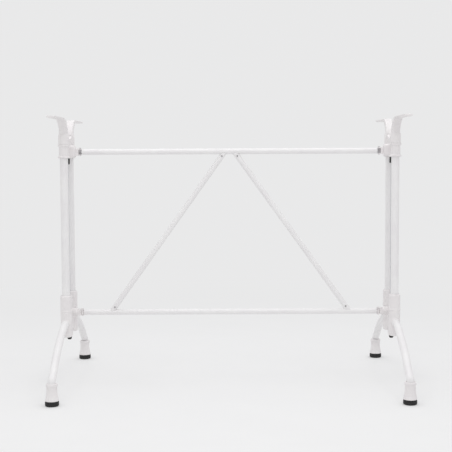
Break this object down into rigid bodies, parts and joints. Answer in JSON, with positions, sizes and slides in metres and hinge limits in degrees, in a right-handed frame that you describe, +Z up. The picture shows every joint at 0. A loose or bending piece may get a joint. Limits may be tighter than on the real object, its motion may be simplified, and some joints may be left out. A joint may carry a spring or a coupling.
{
  "type": "double pedestal table underframe",
  "caption": "White metal table underframe: paired end columns on bent legs, horn arms with flat tabs, joined by a tubular truss with V braces.",
  "frame": {"origin": "centre of the underframe on the floor", "axes": "+X along the truss to the right, +Y to the rear, +Z up"},
  "size_m": [0.9356, 0.6356, 0.728],
  "materials": {
    "white_tube": "satin",
    "white_casting": "satin",
    "dark_hinge_metal": "satin",
    "dark_screw_steel": "satin",
    "zinc_thread": "satin",
    "black_pad": "matte",
    "black_nut_plastic": "gloss"
  },
  "bodies": {
    "truss": {"upper_rod": "white_tube", "lower_rod": "white_tube", "brace_left": "white_tube", "rod_eye_upper_left": "dark_hinge_metal", "rod_eye_lower_left": "dark_hinge_metal", "brace_screw_upper_left": "dark_screw_steel", "brace_screw_lower_left": "dark_screw_steel", "brace_right": "white_tube", "rod_eye_upper_right": "dark_hinge_metal", "rod_eye_lower_right": "dark_hinge_metal", "brace_screw_upper_right": "dark_screw_steel", "brace_screw_lower_right": "dark_screw_steel"},
    "end_left": {"head_casting_left": "white_casting", "hub_casting_left": "white_casting", "hinge_pin_upper_left": "dark_hinge_metal", "hinge_pin_lower_left": "dark_hinge_metal", "tie_rod_left": "zinc_thread", "cap_nut_left": "black_nut_plastic", "lock_nut_left": "black_nut_plastic", "column_front_left": "white_tube", "arm_front_left": "white_casting", "leg_front_left": "white_tube", "boot_front_left": "white_casting", "column_rear_left": "white_tube", "arm_rear_left": "white_casting", "leg_rear_left": "white_tube", "boot_rear_left": "white_casting"},
    "end_right": {"head_casting_right": "white_casting", "hub_casting_right": "white_casting", "hinge_pin_upper_right": "dark_hinge_metal", "hinge_pin_lower_right": "dark_hinge_metal", "tie_rod_right": "zinc_thread", "cap_nut_right": "black_nut_plastic", "lock_nut_right": "black_nut_plastic", "column_front_right": "white_tube", "arm_front_right": "white_casting", "leg_front_right": "white_tube", "boot_front_right": "white_casting", "column_rear_right": "white_tube", "arm_rear_right": "white_casting", "leg_rear_right": "white_tube", "boot_rear_right": "white_casting"},
    "foot_front_left": {"glide_pad_front_left": "black_pad", "glide_stem_front_left": "zinc_thread"},
    "foot_rear_left": {"glide_pad_rear_left": "black_pad", "glide_stem_rear_left": "zinc_thread"},
    "foot_front_right": {"glide_pad_front_right": "black_pad", "glide_stem_front_right": "zinc_thread"},
    "foot_rear_right": {"glide_pad_rear_right": "black_pad", "glide_stem_rear_right": "zinc_thread"}
  },
  "joints": [
    {"name": "fold_left", "type": "hinge", "parent": "truss", "child": "end_left", "pos_m": [-0.4127, 0, 0.4], "axis": [0, 0, 1], "range_deg": [0, 90]},
    {"name": "fold_right", "type": "hinge", "parent": "truss", "child": "end_right", "pos_m": [0.4127, 0, 0.4], "axis": [0, 0, 1], "range_deg": [0, 90]},
    {"name": "level_front_left", "type": "slide", "parent": "end_left", "child": "foot_front_left", "axis": [0, 0, -1], "range_m": [0, 0.01]},
    {"name": "level_rear_left", "type": "slide", "parent": "end_left", "child": "foot_rear_left", "axis": [0, 0, -1], "range_m": [0, 0.01]},
    {"name": "level_front_right", "type": "slide", "parent": "end_right", "child": "foot_front_right", "axis": [0, 0, -1], "range_m": [0, 0.01]},
    {"name": "level_rear_right", "type": "slide", "parent": "end_right", "child": "foot_rear_right", "axis": [0, 0, -1], "range_m": [0, 0.01]}
  ]
}
